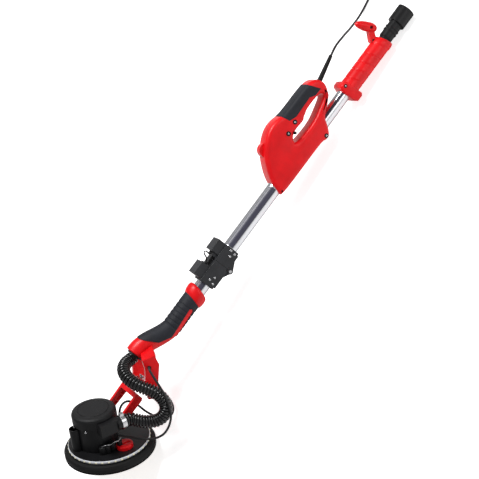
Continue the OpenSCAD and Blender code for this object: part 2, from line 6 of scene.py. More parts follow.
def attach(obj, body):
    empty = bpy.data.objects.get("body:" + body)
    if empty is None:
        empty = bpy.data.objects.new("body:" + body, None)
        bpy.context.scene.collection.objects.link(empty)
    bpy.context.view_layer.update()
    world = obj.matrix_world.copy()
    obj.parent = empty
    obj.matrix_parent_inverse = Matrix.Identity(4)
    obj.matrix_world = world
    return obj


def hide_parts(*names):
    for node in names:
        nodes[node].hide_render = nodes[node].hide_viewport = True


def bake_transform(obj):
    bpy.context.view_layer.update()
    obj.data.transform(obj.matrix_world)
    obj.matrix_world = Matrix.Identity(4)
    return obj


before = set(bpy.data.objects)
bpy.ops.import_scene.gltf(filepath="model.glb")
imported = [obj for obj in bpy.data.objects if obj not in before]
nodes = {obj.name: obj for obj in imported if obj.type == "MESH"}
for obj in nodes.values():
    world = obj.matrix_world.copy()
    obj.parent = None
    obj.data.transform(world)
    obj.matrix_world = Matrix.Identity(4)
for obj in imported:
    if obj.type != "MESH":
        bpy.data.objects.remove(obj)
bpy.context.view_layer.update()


# How the tool lies on the floor, the same as in the part's source
lie = (
    Matrix.Translation((-0.155155, 0.021543, 0.107428))
    @ Matrix.Rotation(math.radians(5.27), 4, "Y")
    @ Matrix.Rotation(math.radians(-21.7), 4, "X")
)
swingFrame = lie @ Matrix.Translation((0, 0, -0.018)) @ Matrix.Rotation(math.radians(16), 4, "X")
headFrame = (
    swingFrame
    @ Matrix.Translation((-0.4286, 0, 0))
    @ Matrix.Rotation(math.radians(38), 4, "Y")
    @ Matrix.Translation((-0.023, 0, -0.0881))
)


def metres(points):
    return [Vector((x / 1000, y / 1000, z / 1000)) for x, y, z in points]


# Materials
def addNode(tree, kind, **inputs):
    made = tree.nodes.new(kind)
    for key, value in inputs.items():
        made.inputs[key.replace("_", " ")].default_value = value
    return made


def ramp(tree, source, low, high, start=0.35, end=0.65):
    made = tree.nodes.new("ShaderNodeValToRGB")
    made.color_ramp.elements[0].position = start
    made.color_ramp.elements[1].position = end
    made.color_ramp.elements[0].color = (*low, 1)
    made.color_ramp.elements[1].color = (*high, 1)
    tree.links.new(source, made.inputs["Fac"])
    return made.outputs["Color"]


def shade(colour, factor):
    return tuple(min(1.0, c * factor) for c in colour)


def makeMaterial(name, spec):
    made = bpy.data.materials.new(name)
    made.use_nodes = True
    tree = made.node_tree
    surface = tree.nodes["Principled BSDF"]
    place = tree.nodes.new("ShaderNodeTexCoord")
    mapping = tree.nodes.new("ShaderNodeMapping")
    mapping.vector_type = "POINT"
    mapping.inputs["Rotation"].default_value = spec.get("turn", (0, 0, 0))
    mapping.inputs["Scale"].default_value = spec.get("stretch", (1, 1, 1))
    tree.links.new(place.outputs["Object"], mapping.inputs["Vector"])

    # slow drift of the colour, with fine specks of dust and wear
    drift = addNode(tree, "ShaderNodeTexNoise", Scale=spec.get("driftScale", 30), Detail=5)
    speck = addNode(tree, "ShaderNodeTexNoise", Scale=spec.get("grainScale", 900), Detail=3)
    tree.links.new(mapping.outputs["Vector"], drift.inputs["Vector"])
    tree.links.new(mapping.outputs["Vector"], speck.inputs["Vector"])
    base = spec["colour"]
    contrast = spec.get("contrast", 0.1)
    colour = ramp(tree, drift.outputs["Fac"], shade(base, 1 - contrast), shade(base, 1 + contrast))
    blended = tree.nodes.new("ShaderNodeMix")
    blended.data_type = "RGBA"
    blended.blend_type = "MULTIPLY"
    blended.inputs["Factor"].default_value = spec.get("speckle", 0.25)
    tree.links.new(colour, blended.inputs["A"])
    tree.links.new(
        ramp(tree, speck.outputs["Fac"], (0.6, 0.6, 0.6), (1, 1, 1), 0.3, 0.6), blended.inputs["B"]
    )
    tree.links.new(blended.outputs["Result"], surface.inputs["Base Color"])

    rough = spec["rough"]
    spread = spec.get("roughSpread", 0.06)
    levels = tree.nodes.new("ShaderNodeMapRange")
    levels.inputs["To Min"].default_value = max(0.03, rough - spread)
    levels.inputs["To Max"].default_value = min(1, rough + spread)
    tree.links.new(drift.outputs["Fac"], levels.inputs["Value"])
    tree.links.new(levels.outputs["Result"], surface.inputs["Roughness"])

    surface.inputs["Metallic"].default_value = spec.get("metal", 0)
    surface.inputs["Coat Weight"].default_value = spec.get("coat", 0)
    surface.inputs["Coat Roughness"].default_value = 0.12
    surface.inputs["Specular IOR Level"].default_value = spec.get("specular", 0.5)

    bump = addNode(tree, "ShaderNodeBump", Strength=spec.get("grain", 0.15), Distance=0.0004)
    tree.links.new(speck.outputs["Fac"], bump.inputs["Height"])
    if spec.get("edge", 0) > 0:
        rounded = tree.nodes.new("ShaderNodeBevel")
        rounded.samples = 4
        rounded.inputs["Radius"].default_value = spec["edge"]
        tree.links.new(rounded.outputs["Normal"], bump.inputs["Normal"])
    tree.links.new(bump.outputs["Normal"], surface.inputs["Normal"])
    if "glow" in spec:
        surface.inputs["Emission Color"].default_value = (*spec["glow"], 1)
        surface.inputs["Emission Strength"].default_value = spec.get("glowLevel", 0.4)
    return made


materialSpecs = {
    "redPlastic": {
        "colour": (0.86, 0.004, 0.008), "rough": 0.36, "coat": 0.06, "grain": 0.12, "edge": 0.0022,
        "specular": 0.3, "contrast": 0.08, "speckle": 0.10, "grainScale": 1400,
    },
    "softGrip": {
        "colour": (0.015, 0.017, 0.024), "rough": 0.62, "grain": 0.5, "edge": 0.0012,
        "contrast": 0.18, "grainScale": 2200, "specular": 0.35,
    },
    "blackPlastic": {
        "colour": (0.007, 0.007, 0.008), "rough": 0.42, "grain": 0.25, "edge": 0.0015, "contrast": 0.2,
        "specular": 0.3,
    },
    "coverPlastic": {
        "colour": (0.008, 0.008, 0.009), "specular": 0.3, "rough": 0.55, "grain": 0.6, "edge": 0.0025,
        "contrast": 0.15, "grainScale": 1600,
    },
    "blockPlastic": {
        "colour": (0.020, 0.021, 0.025), "rough": 0.5, "grain": 0.45, "edge": 0.0016,
        "contrast": 0.2, "grainScale": 1800,
    },
    "blackRubber": {
        "colour": (0.005, 0.005, 0.005), "rough": 0.6, "grain": 0.6, "edge": 0.001,
        "contrast": 0.25, "grainScale": 1500, "specular": 0.25,
    },
    "hosePlastic": {"colour": (0.004, 0.004, 0.005), "rough": 0.2, "coat": 0.4, "grain": 0.08},
    "cordRubber": {"colour": (0.012, 0.012, 0.013), "rough": 0.5, "grain": 0.3, "grainScale": 1800},
    "bristle": {
        "colour": (0.008, 0.008, 0.008), "specular": 0.2,
        "rough": 0.8, "grain": 0.9, "contrast": 0.4, "speckle": 0.6,
        "grainScale": 2600,
    },
    "tubeAlloy": {
        "colour": (0.80, 0.81, 0.84), "rough": 0.24, "metal": 1, "grain": 0.1, "edge": 0.0006,
        "stretch": (0.02, 1, 1), "grainScale": 2600, "driftScale": 140, "contrast": 0.05,
        "speckle": 0.12, "turn": (0, math.radians(-5.27), 0),
    },
    "tubeStrip": {
        "colour": (0.055, 0.055, 0.085), "rough": 0.35, "grain": 0.15, "edge": 0.0004,
        "stretch": (0.05, 1, 1), "turn": (0, math.radians(-5.27), 0), "grainScale": 2200,
    },
    "brightSteel": {
        "colour": (0.75, 0.75, 0.77), "rough": 0.25, "metal": 1, "grain": 0.15, "edge": 0.0005,
        "contrast": 0.08,
    },
    "lampDiffuser": {
        "colour": (0.72, 0.74, 0.78), "rough": 0.3, "grain": 0.1, "contrast": 0.1, "driftScale": 90,
    },
    "lampChip": {
        "colour": (0.85, 0.80, 0.55), "rough": 0.35, "grain": 0.1, "glow": (1, 0.93, 0.7), "glowLevel": 0.25,
    },
    "copperWire": {"colour": (0.45, 0.18, 0.07), "rough": 0.4, "metal": 0.8, "grain": 0.8, "grainScale": 700},
    "foam": {"colour": (0.05, 0.05, 0.06), "rough": 0.9, "grain": 1.0, "grainScale": 900},
    "grit": {"colour": (0.42, 0.27, 0.14), "rough": 0.95, "grain": 1.0, "contrast": 0.3, "grainScale": 3000},
}
materials = {name: makeMaterial(name, spec) for name, spec in materialSpecs.items()}

nodeMaterials = {
    "redPlastic": (
        "handle_near handle_far trigger speed_dial lower_handle_near lower_handle_far fork_arm_near"
        " fork_arm_far fork_bridge swing_frame rear_grip aux_stem aux_bar suction_knob"
    ),
    "softGrip": "handle_grip lower_grip",
    "blackPlastic": (
        "power_switch lock_button latch_lever hose_socket hose_adapter motor_housing hose_port"
        " dust_duct deck_plate aux_screws backing_pad mains_plug"
    ),
    "coverPlastic": "motor_cover",
    "blockPlastic": "upper_hinge_block lower_hinge_block",
    "blackRubber": "strain_relief wire_loop skirt_ring cable_glands",
    "bristle": "brush_ring",
    "tubeAlloy": "mid_tube lower_tube rear_tube",
    "tubeStrip": "channel_strip",
    "brightSteel": (
        "upper_rivets lower_rivets handle_screws hinge_pin roll_pin pitch_pin hose_clamp bearings"
        " pad_spindle rotor"
    ),
    "lampDiffuser": "led_strip",
    "copperWire": "motor_stator",
    "foam": "foam_pad",
    "grit": "abrasive_disc",
}
for materialName, names in nodeMaterials.items():
    for nodeName in names.split():
        mesh = nodes[nodeName].data
        mesh.materials.clear()
        mesh.materials.append(materials[materialName])
print("stage: materials")


# Helpers for the pieces
def activate(obj):
    bpy.ops.object.select_all(action="DESELECT")
    obj.select_set(True)
    bpy.context.view_layer.objects.active = obj


def finishPiece(obj, name, body, material, matrix=None):
    obj.name = name
    if matrix is not None:
        obj.matrix_world = matrix @ obj.matrix_world
    activate(obj)
    bpy.ops.object.transform_apply(location=True, rotation=True, scale=True)
    obj.data.materials.clear()
    obj.data.materials.append(materials[material])
    if body:
        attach(obj, body)
    return obj


def smooth(obj, angle=35):
    activate(obj)
    bpy.ops.object.shade_smooth_by_angle(angle=math.radians(angle))


def applyAll(obj):
    activate(obj)
    for modifier in list(obj.modifiers):
        bpy.ops.object.modifier_apply(modifier=modifier.name)


def joined(objects):
    bpy.ops.object.select_all(action="DESELECT")
    for obj in objects:
        obj.select_set(True)
    bpy.context.view_layer.objects.active = objects[0]
    bpy.ops.object.join()
    return bpy.context.view_layer.objects.active


def makeCurve(name, points, radius):
    data = bpy.data.curves.new(name, "CURVE")
    data.dimensions = "3D"
    spline = data.splines.new("NURBS")
    spline.points.add(len(points) - 1)
    for target, p in zip(spline.points, points):
        target.co = (*p, 1)
    spline.order_u = 3
    spline.use_endpoint_u = True
    spline.resolution_u = 4
    data.bevel_depth = radius
    data.bevel_resolution = 3
    data.use_fill_caps = True
    obj = bpy.data.objects.new(name, data)
    bpy.context.scene.collection.objects.link(obj)
    return obj


# Camera
# Its place and its axes are given in the tool's own frame
cameraData = {
    "place": (-0.1947, -2.9329, 1.1184),
    "right": (0.5916, -0.3461, -0.7281),
    "up": (0.7994, 0.1347, 0.5855),
    "back": (-0.1045, -0.9285, 0.3564),
    "lens": 90.19,
}
bpy.ops.object.camera_add()
camera = bpy.context.object
turn = Matrix((cameraData["right"], cameraData["up"], cameraData["back"])).transposed().to_4x4()
camera.matrix_world = lie @ Matrix.Translation(cameraData["place"]) @ turn
camera.data.lens = cameraData["lens"]
camera.data.sensor_width = 36
camera.data.clip_end = 50
scene = bpy.context.scene
scene.camera = camera
scene.render.resolution_x = 479
scene.render.resolution_y = 479


# Mains cord
cord = {
    "route": [
        (520.4, 56.5, 133.4), (536, 57.8, 135.3), (556, 70, 126), (580, 87, 108), (606, 108, 86),
        (632, 130, 62), (656, 152, 40), (680, 171, 21), (704, 184, 9), (728, 192, 4), (752, 196, 4),
        (785, 201, 4), (826, 203, 4),
    ],
    "radius": 3.3,
    "coilAt": (858, 263),
    # radius and height of each turn, in the order in which it is wound
    "turns": [
        (60, 4), (52, 4), (44, 4), (36, 4), (36, 12), (36, 20), (44, 20), (44, 12), (52, 12),
        (52, 20), (60, 20), (60, 12),
    ],
    "steps": 24,
    "changeSteps": 5,  # steps in which it moves from one turn to the next
    "leadOut": (18, 10),
    "plugStart": (891, 203, 9),
}


def coilPoints():
    points = []
    turns = cord["turns"]
    middleX, middleY = cord["coilAt"]
    for index, (radius, height) in enumerate(turns):
        before = turns[index - 1] if index else turns[0]
        for step in range(cord["steps"]):
            share = min(1, step / cord["changeSteps"])
            r = before[0] + (radius - before[0]) * share
            z = before[1] + (height - before[1]) * share
            angle = math.radians(-90 + 360 * step / cord["steps"])
            points.append((middleX + r * math.cos(angle), middleY + r * math.sin(angle), z))
    last = turns[-1]
    points.append((middleX, middleY - last[0], last[1]))
    points.append((middleX + cord["leadOut"][0], middleY - last[0], cord["leadOut"][1]))
    points.append(cord["plugStart"])
    return points


cordPoints = metres(cord["route"] + coilPoints())
mainsCord = makeCurve("mainsCord", cordPoints, cord["radius"] / 1000)
finishPiece(mainsCord, "mainsCord", "main_pole", "cordRubber")
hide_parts("mains_cord", "cord_coil")

coilTie = {"major": 0.0152, "minor": 0.0016, "scale": (1.12, 0.74, 2.2), "inset": 48, "height": 0.0125}
bpy.ops.mesh.primitive_torus_add(
    major_radius=coilTie["major"], minor_radius=coilTie["minor"], major_segments=32, minor_segments=10,
)
tie = bpy.context.object
tie.scale = coilTie["scale"]
tie.rotation_euler = (math.radians(90), 0, 0)
tieX = (cord["coilAt"][0] - coilTie["inset"]) / 1000
tie.location = (tieX, cord["coilAt"][1] / 1000, coilTie["height"])
smooth(tie, 60)
finishPiece(tie, "coilTie", "main_pole", "blackRubber")
print("stage: mains cord")


# Dust hose
hose = {
    "radius": 0.017,
    "pitch": 0.0078,
    "ribInset": 0.0028,
    "ribRadius": 0.0032,
    "coreInset": 0.0040,
    "coreRings": 40,  # so that the core bends smoothly
    "upper": [
        (-262, 0, 36), (-279, 0, 36), (-290, -5, 42), (-303, -17, 49), (-318, -38, 50), (-327, -64, 36),
        (-324, -88, 8), (-314, -98, -22), (-312, -102, -44), (-314.8, -103.2, -58.7), (-318, -104, -66),
    ],
    "lower": [
        (-318, -104, -66.1), (-321.2, -104.8, -73.4), (-336, -102, -86), (-356, -95, -90), (-376, -84, -81),
        (-391, -73, -63), (-400.3, -63, -44), (-405.4, -61.1, -33.6), (-424, -65, -19),
    ],
}


def makeHose(name, points):
    path = makeCurve(name + "Path", points, 0)
    path.matrix_world = lie
    activate(path)
    bpy.ops.object.transform_apply(location=True, rotation=True, scale=True)
    path.data.use_fill_caps = False
    length = sum((a - b).length for a, b in zip(points, points[1:]))
    bpy.ops.mesh.primitive_torus_add(
        major_radius=hose["radius"] - hose["ribInset"], minor_radius=hose["ribRadius"], major_segments=28,
        minor_segments=10, rotation=(0, math.radians(90), 0),
    )
    rib = bpy.context.object
    bpy.ops.object.transform_apply(location=True, rotation=True, scale=True)
    repeat = rib.modifiers.new("repeat", "ARRAY")
    repeat.fit_type = "FIXED_COUNT"
    repeat.count = max(2, int(length / hose["pitch"]))
    repeat.use_relative_offset = False
    repeat.use_constant_offset = True
    repeat.constant_offset_displace = (hose["pitch"], 0, 0)
    bpy.ops.mesh.primitive_cylinder_add(
        radius=hose["radius"] - hose["coreInset"], depth=length, vertices=28, end_fill_type="NOTHING",
        rotation=(0, math.radians(90), 0), location=(length / 2, 0, 0),
    )
    core = bpy.context.object
    bpy.ops.object.transform_apply(location=True, rotation=True, scale=True)
    return path, rib, core, length


def bendAlong(obj, path):
    bend = obj.modifiers.new("bend", "CURVE")
    bend.object = path
    bend.deform_axis = "POS_X"
    applyAll(obj)
    bpy.ops.object.shade_smooth()


def buildHose(name, points, replaced):
    path, rib, core, length = makeHose(name, metres(points))
    applyAll(rib)
    activate(core)
    bpy.ops.object.mode_set(mode="EDIT")
    for step in range(1, hose["coreRings"]):
        bpy.ops.mesh.select_all(action="SELECT")
        bpy.ops.mesh.bisect(plane_co=(length * step / hose["coreRings"], 0, 0), plane_no=(1, 0, 0))
    bpy.ops.object.mode_set(mode="OBJECT")
    whole = joined([rib, core])
    bendAlong(whole, path)
    bpy.data.objects.remove(path)
    finishPiece(whole, name, None, "hosePlastic")
    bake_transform(whole)
    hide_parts(replaced)
    return whole


buildHose(
    "hoseUpper", hose["upper"],
    "hose_upper",
)
buildHose(
    "hoseLower", hose["lower"],
    "hose_lower",
)
print("stage: hose")


# Cables of the head
cables = {
    "powerUpper": [
        (-272, -80, 14), (-272, -90.2, 18.6), (-277, -98, 14), (-285, -108, -4), (-293, -119, -24),
        (-304, -125, -50), (-311, -125.5, -61.5),
    ],
    "powerLower": [
        (-311, -125.5, -61.5), (-318, -126, -73), (-337, -121, -98), (-362, -108, -115), (-390, -94, -122),
        (-416, -76, -110), (-438, -58, -78), (-455, -45, -44),
    ],
    "lightUpper": [
        (-272, 80, 14), (-272, 90.2, 18.6), (-277, 96, 11), (-288, 94, -14), (-298, 70, -56),
        (-303, 34, -92), (-305.5, 19, -106),
    ],
    "lightLower": [
        (-305.5, 19, -106), (-308, 4, -120), (-322, -16, -137), (-344, -22, -139), (-362, -17, -122),
        (-371, -8, -84), (-368, -2, -48), (-374, 0, -24), (-390, 0, -16), (-410, 0, -22), (-427, 0, -37),
    ],
    "radius": 0.003,
}


def buildCable(name, points, replaced):
    cable = makeCurve(name, metres(points), cables["radius"])
    cable.matrix_world = lie
    activate(cable)
    bpy.ops.object.convert(target="MESH")
    bpy.ops.object.shade_smooth()
    finishPiece(cable, name, None, "cordRubber")
    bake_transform(cable)
    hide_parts(replaced)


# each cable is in two lengths, an upper and a lower one
buildCable(
    "powerCableUpper", cables["powerUpper"], "power_cable",
)
buildCable(
    "powerCableLower", cables["powerLower"], "power_cable",
)
buildCable(
    "lightCableUpper", cables["lightUpper"], "light_cable",
)
buildCable(
    "lightCableLower", cables["lightLower"], "light_cable",
)
print("stage: cables")


# Moulded shells
# A side outline (x, z) with holes, in millimetres, made a slab with rounded edges
def makeShell(name, outline, holes, half, edge, grow=0.0):
    data = bpy.data.curves.new(name, "CURVE")
    data.dimensions = "2D"
    data.fill_mode = "BOTH"
    for loop in [outline] + holes:
        spline = data.splines.new("POLY")
        spline.points.add(len(loop) - 1)
        for target, (x, z) in zip(spline.points, loop):
            target.co = (x / 1000, z / 1000, 0, 1)
        spline.use_cyclic_u = True
    data.extrude = (half - edge) / 1000 + grow
    data.bevel_depth = edge / 1000
    data.bevel_resolution = 5
    data.offset = -edge / 1000 + grow
    obj = bpy.data.objects.new(name, data)
    bpy.context.scene.collection.objects.link(obj)
    obj.matrix_world = Matrix.Rotation(math.radians(90), 4, "X")
    activate(obj)
    bpy.ops.object.convert(target="MESH")
    obj = bpy.context.object
    bpy.ops.object.transform_apply(location=True, rotation=True, scale=True)
    bpy.ops.object.mode_set(mode="EDIT")
    bpy.ops.mesh.select_all(action="SELECT")
    bpy.ops.mesh.remove_doubles(threshold=0.00002)
    bpy.ops.mesh.normals_make_consistent(inside=False)
    bpy.ops.object.mode_set(mode="OBJECT")
    return obj


# Each turn cuts the outline's corners off, which rounds it
def rounded(points):
    loop = list(points)
    for turn in range(2):
        cut = []
        for index, (x, z) in enumerate(loop):
            nextX, nextZ = loop[(index + 1) % len(loop)]
            cut.append((x * 0.75 + nextX * 0.25, z * 0.75 + nextZ * 0.25))
            cut.append((x * 0.25 + nextX * 0.75, z * 0.25 + nextZ * 0.75))
        loop = cut
    return loop


def carve(obj, cutter, operation):
    step = obj.modifiers.new("carve", "BOOLEAN")
    step.operation = operation
    step.solver = "EXACT"
    step.object = cutter
    applyAll(obj)
    bpy.data.objects.remove(cutter)
    return obj


# A round bar along points (x, y, z, radius) in millimetres
def makeSweep(name, points):
    obj = makeCurve(name, metres([q[:3] for q in points]), 0.001)
    spline = obj.data.splines[0]
    for target, q in zip(spline.points, points):
        target.radius = q[3]  # times the curve's radius of 1 mm
    obj.data.bevel_resolution = 10
    activate(obj)
    bpy.ops.object.convert(target="MESH")
    return bpy.context.object


handle = {
    "outline": [
        (292, -14), (297, -23), (440, -23), (478, -24), (487, -30), (503, -28), (518, -8), (530, 14),
        (576, 34), (600, 66), (594, 92), (578, 104), (549, 108), (462, 108), (440, 116), (415, 118),
        (390, 112), (360, 95), (336, 74), (306, 32),
    ],
    "hole": [
        (424, 33), (497, 29), (540, 40), (574, 50), (573, 62), (550, 66), (514, 66), (494, 61),
        (486, 54), (459, 57), (440, 55), (427, 46),
    ],
    "patch": [(450, 124), (458, 88), (478, 80), (540, 82), (556, 72), (578, 72), (570, 90), (556, 124)],
    "half": 27.5,
    "edge": 11,
    "patchRise": 0.0006,
    "screws": [(465, 74), (430, 69)],
    "clampScrew": (493, -20),
    "screwRadius": 4.2,
    "clampScrewRadius": 4.0,
    "screwRise": 0.3,
}
handleOutline = rounded(handle["outline"])
handleHole = rounded(handle["hole"])
cutHalf = 40  # half width of a cutter, wider than any piece
sharp = 0.01  # edge of a piece that isn't rounded
handleBody = makeShell("handleBody", handleOutline, [handleHole], handle["half"], handle["edge"])
patchBody = makeShell(
    "softPatch", handleOutline, [handleHole], handle["half"], handle["edge"], handle["patchRise"],
)
carve(patchBody, makeShell("patchCut", handle["patch"], [], cutHalf, sharp), "INTERSECT")
smooth(handleBody, 40)
smooth(patchBody, 40)
finishPiece(handleBody, "handleBody", "main_pole", "redPlastic", lie)
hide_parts("handle_near", "handle_far")
finishPiece(patchBody, "softPatch", "main_pole", "softGrip", lie)
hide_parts("handle_grip")


recess = {
    "rim": (1.25, 0.28),  # major and minor radius, as shares of the screw's radius
    "well": (1.15, 0.0012, 0.0002),  # radius share, depth and sink
    "head": (0.62, 0.0024),
    "socket": (0.3, 0.003, 0.0018),
    "bevel": 0.0004,
}


def addDisc(radius, depth, place, corners=24):
    bpy.ops.mesh.primitive_cylinder_add(
        vertices=corners, radius=radius, depth=depth, location=place, rotation=(math.radians(90), 0, 0),
    )
    return bpy.context.object


def bevelEdges(obj, width, segments, limit):
    bevel = obj.modifiers.new("bevel", "BEVEL")
    bevel.width = width
    bevel.segments = segments
    bevel.limit_method = limit
    applyAll(obj)


# A recessed screw in a face that looks towards -Y
def screwHead(name, x, z, y, radius, body):
    place = Vector((x, y, z)) / 1000
    size = radius / 1000
    bpy.ops.mesh.primitive_torus_add(
        major_radius=size * recess["rim"][0], minor_radius=size * recess["rim"][1], major_segments=28,
        minor_segments=8, location=place, rotation=(math.radians(90), 0, 0),
    )
    rim = bpy.context.object
    smooth(rim, 60)
    finishPiece(rim, name + "Rim", body, "blackRubber", lie)
    share, depth, sink = recess["well"]
    disc = addDisc(size * share, depth, place + Vector((0, sink, 0)))
    bevelEdges(disc, recess["bevel"], 2, "ANGLE")
    finishPiece(disc, name + "Well", body, "blackRubber", lie)
    head = addDisc(size * recess["head"][0], recess["head"][1], place)
    share, depth, rise = recess["socket"]
    carve(head, addDisc(size * share, depth, place - Vector((0, rise, 0)), 6), "DIFFERENCE")
    bevelEdges(head, recess["bevel"], 2, "ANGLE")
    finishPiece(head, name, body, "brightSteel", lie)


faceY = -handle["half"] - handle["screwRise"]
for index, (x, z) in enumerate(handle["screws"]):
    screwHead("handleScrew%d" % index, x, z, faceY, handle["screwRadius"], "main_pole")
screwHead("clampScrew", *handle["clampScrew"], faceY, handle["clampScrewRadius"], "main_pole")
print("stage: main handle")


# Lower arm
arm = {
    "start": -58,
    "end": -267,
    "radius": 25.2,
    "rise": 37,
    "bendFrom": -150,
    "bendTo": -258,
    "flare": 1.2,
    "sleeveEnd": -236,
    "sleeveRadius": 26.6,
    "grooves": (-166, -88, 13, 3),  # from, to, spacing and width
    "grooveDepth": 1.3,
    "step": 2.5,
    "collar": [
        (-35, 0, 0, 22), (-36, 0, 0, 27), (-39, 0, 0, 30), (-45, 0, 0, 31.6), (-54, 0, 0, 31.4),
        (-62, 0, 0, 30), (-67, 0, 0, 27.5), (-68.5, 0, 0, 24),
    ],
    "lean": 0.26,
    "sleeveCut": [
        (-300, -60), (-300, 80), (-231, 60), (-207, 11.5), (-176, -9), (-92, -2), (-86, -8), (-92, -14),
        (-168, -23), (-150, -60),
    ],
}


# Leans a piece along the pole by this much for each unit of height
def leaned(amount):
    return Matrix(((1, 0, amount, 0), (0, 1, 0, 0), (0, 0, 1, 0), (0, 0, 0, 1)))


# Height of the crank's middle line over the pole's axis
def armHeight(x):
    share = max(0, min(1, (arm["bendFrom"] - x) / (arm["bendFrom"] - arm["bendTo"])))
    return arm["rise"] * share * share * (3 - 2 * share)


def armPoints(start, end, radius, grooves):
    points = [(start, 0, armHeight(start), radius - 3)]
    low, high, spacing, width = arm["grooves"]
    x = start
    while x > end:
        deep = arm["grooveDepth"] if grooves and low < x < high and (high - x) % spacing < width else 0
        points.append((x, 0, armHeight(x), radius + arm["flare"] * armHeight(x) / arm["rise"] - deep))
        x -= arm["step"]
    points.append((end, 0, armHeight(end), radius - 1))
    points.append((end - 0.5, 0, armHeight(end), radius - 4))
    return points


armCore = makeSweep("lowerArmBody", armPoints(arm["start"], arm["end"], arm["radius"], False))
smooth(armCore, 50)
finishPiece(armCore, "lowerArmBody", "lower_arm", "redPlastic", lie)
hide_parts("lower_handle_near", "lower_handle_far")
collar = makeSweep("collar", arm["collar"])
collar.data.transform(leaned(arm["lean"]))
smooth(collar, 50)
finishPiece(collar, "collar", "lower_arm", "redPlastic", lie)
sleeve = makeSweep("sleeve", armPoints(arm["start"], arm["sleeveEnd"], arm["sleeveRadius"], True))
carve(sleeve, makeShell("sleeveCut", arm["sleeveCut"], [], 60, sharp), "DIFFERENCE")
smooth(sleeve, 50)
finishPiece(sleeve, "sleeve", "lower_arm", "softGrip", lie)
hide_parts("lower_grip")
print("stage: lower arm")


# Rear grip
grip = {
    "front": [(632, 0, 0, 20), (634, 0, 0, 24)],
    "rear": [
        (780, 0, 0, 27), (792, 0, 0, 27), (796, 0, 0, 25.5), (800, 0, 0, 24), (800.5, 0, 0, 17),
    ],
    "radius": 25.6,
    "grooveDepth": 1.6,
    "grooveSpacing": 27,
    "lean": -0.25,
    "flange": [
        (616, 26), (612, 12), (616, -28), (622, -36), (640, -36), (646, -30), (640, 24), (634, 30), (622, 30),
    ],
    "flangeHalf": 27,
    "flangeEdge": 6,
    "screw": (628, 20),
    "screwRadius": 3.2,
}


def gripPoints():
    points = list(grip["front"])
    for x in range(640, 780, 2):
        grooved = 655 < x < 760 and (x - 662) % grip["grooveSpacing"] < 2
        points.append((x, 0, 0, grip["radius"] - (grip["grooveDepth"] if grooved else 0.0)))
    return points + grip["rear"]


gripBody = makeSweep("rearGripBody", gripPoints())
gripBody.data.transform(leaned(grip["lean"]))
smooth(gripBody, 50)
finishPiece(gripBody, "rearGripBody", "rear_section", "redPlastic", lie)
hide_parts("rear_grip")
flange = makeShell("gripFlange", grip["flange"], [], grip["flangeHalf"], grip["flangeEdge"])
smooth(flange, 40)
finishPiece(flange, "gripFlange", "rear_section", "redPlastic", lie)
flangeFace = -grip["flangeHalf"] - handle["screwRise"]
screwHead("flangeScrew", *grip["screw"], flangeFace, grip["screwRadius"], "rear_section")
print("stage: rear grip")


# Dark strips in the tubes' grooves
# from, to, radius and width of each strip
strips = {
    "lowerStrip": (-34, -14, 0.0201, 0.0196, "lower_arm"),
    "middleStripEnd": (286, 296, 0.0201, 0.0196, "main_pole"),
    "rearStrip": (520, 614, 0.0186, 0.0078, "rear_section"),
}
stripTurn = math.radians(33)  # from the near side towards the top
stripThickness = 0.0006


def tubeStrip(name, start, end, radius, width, body):
    bpy.ops.mesh.primitive_cylinder_add(
        vertices=96, radius=radius, depth=(end - start) / 1000, end_fill_type="NOTHING",
        rotation=(0, math.radians(90), 0), location=((start + end) / 2000, 0, 0),
    )
    strip = bpy.context.object
    bpy.ops.object.transform_apply(location=True, rotation=True, scale=True)
    out = Vector((0, -math.cos(stripTurn), math.sin(stripTurn)))
    chord = math.sqrt(radius * radius - width * width / 4)
    bpy.ops.object.mode_set(mode="EDIT")
    bpy.ops.mesh.select_all(action="SELECT")
    bpy.ops.mesh.bisect(plane_co=tuple(out * chord), plane_no=tuple(out), clear_inner=True)
    bpy.ops.object.mode_set(mode="OBJECT")
    thick = strip.modifiers.new("thick", "SOLIDIFY")
    thick.thickness = stripThickness
    thick.offset = 1
    applyAll(strip)
    smooth(strip, 40)
    finishPiece(strip, name, body, "tubeStrip", lie)


for name, facts in strips.items():
    tubeStrip(name, *facts)
print("stage: strips")


# Screws of the motor's cover, and the suction valve beside the red knob
motor = {"axisX": -28, "screwRadius": 0.003, "screws": [(-73, -36, 98), (-24, -57.5, 98), (-85, 8, 98)]}
valve = {
    "wire": [(-46, -56, 52), (-38, -64, 60), (-26, -67, 55), (-14, -68, 61), (-2, -68, 56), (6, -66, 64)],
    "wireRadius": 0.0009,
    "bosses": [(-44, -56, 42, 9), (-32, -62, 44, 7), (-18, -60, 48, 9), (2, -62, 46, 7)],
    "bossHeight": 0.022,
    "bossBevel": 0.0016,
}


def headScrew(name, x, y, z):
    outward = Vector((x - motor["axisX"], y, 0)).normalized()
    bpy.ops.mesh.primitive_uv_sphere_add(segments=20, ring_count=10, radius=motor["screwRadius"])
    screw = bpy.context.object
    screw.scale = (1, 1, 0.55)
    screw.rotation_euler = outward.to_track_quat("Z", "Y").to_euler()
    screw.location = Vector((x, y, z)) / 1000
    smooth(screw, 60)
    finishPiece(screw, name, "head", "brightSteel", headFrame)


